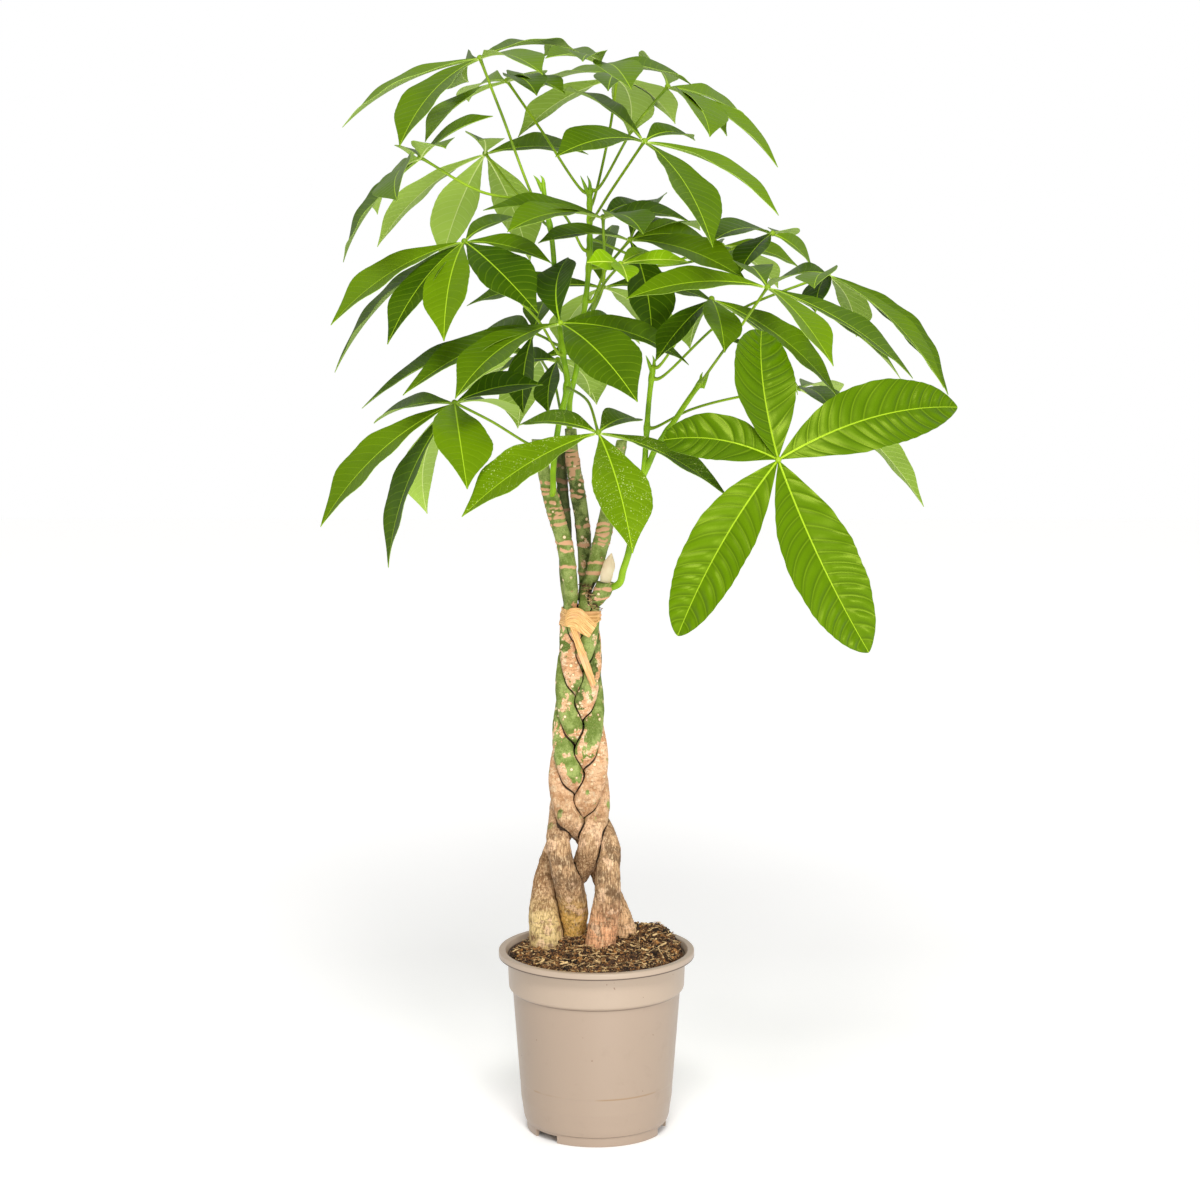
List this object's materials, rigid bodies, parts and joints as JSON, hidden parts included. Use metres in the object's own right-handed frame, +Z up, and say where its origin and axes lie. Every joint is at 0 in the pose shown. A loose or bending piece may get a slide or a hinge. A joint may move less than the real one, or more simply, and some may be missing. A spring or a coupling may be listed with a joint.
{
  "type": "potted money tree",
  "caption": "Tall house plant with braided woody stems, a tied top, arching shoots and hand-shaped leaves, in a round tapered nursery pot",
  "frame": {"origin": "on the pot's axis, on the surface that the pot stands on: 4 mm below the flat underside of its floor", "axes": "+Z up along the pot's axis and the plant's height; -Y is the front, the side that the picture shows; +X is to the right as seen from the front"},
  "size_m": [0.6412, 0.5645, 1.1583],
  "materials": {
    "pot": "satin",
    "soil": "matte",
    "bark": "matte",
    "raffia": "matte",
    "sheath": "matte",
    "shoot": "satin",
    "leaf": "satin",
    "young_leaf": "satin"
  },
  "bodies": {
    "root": {"pot": "pot", "soil": "soil", "stem_1": "bark", "stem_2": "bark", "stem_3": "bark", "stem_4": "bark", "stem_5": "bark", "tie": "raffia", "shoot_left": "shoot", "shoot_centre": "shoot", "shoot_right": "shoot", "dry_sheath": "sheath", "leaf_top_far_left": "leaf", "leaf_top_left": "leaf", "leaf_top_middle": "leaf", "leaf_top_back": "leaf", "leaf_top_right": "leaf", "leaf_upper_left": "leaf", "leaf_upper_back_left": "leaf", "leaf_upper_right": "leaf", "leaf_middle": "leaf", "leaf_middle_right": "leaf", "leaf_young": "young_leaf", "leaf_left": "leaf", "leaf_low_left": "leaf", "leaf_front": "leaf", "leaf_front_right": "leaf", "leaf_right": "leaf", "leaf_inner_right": "leaf", "leaf_far_right": "leaf", "leaf_upper_far_right": "leaf", "leaf_low_right": "leaf", "leaf_back_middle": "leaf", "leaf_low_back": "leaf", "leaf_inner_left": "leaf", "leaf_inner_left_high": "leaf", "leaf_big_front": "leaf", "leaf_far_back_right": "leaf"}
  },
  "joints": []
}
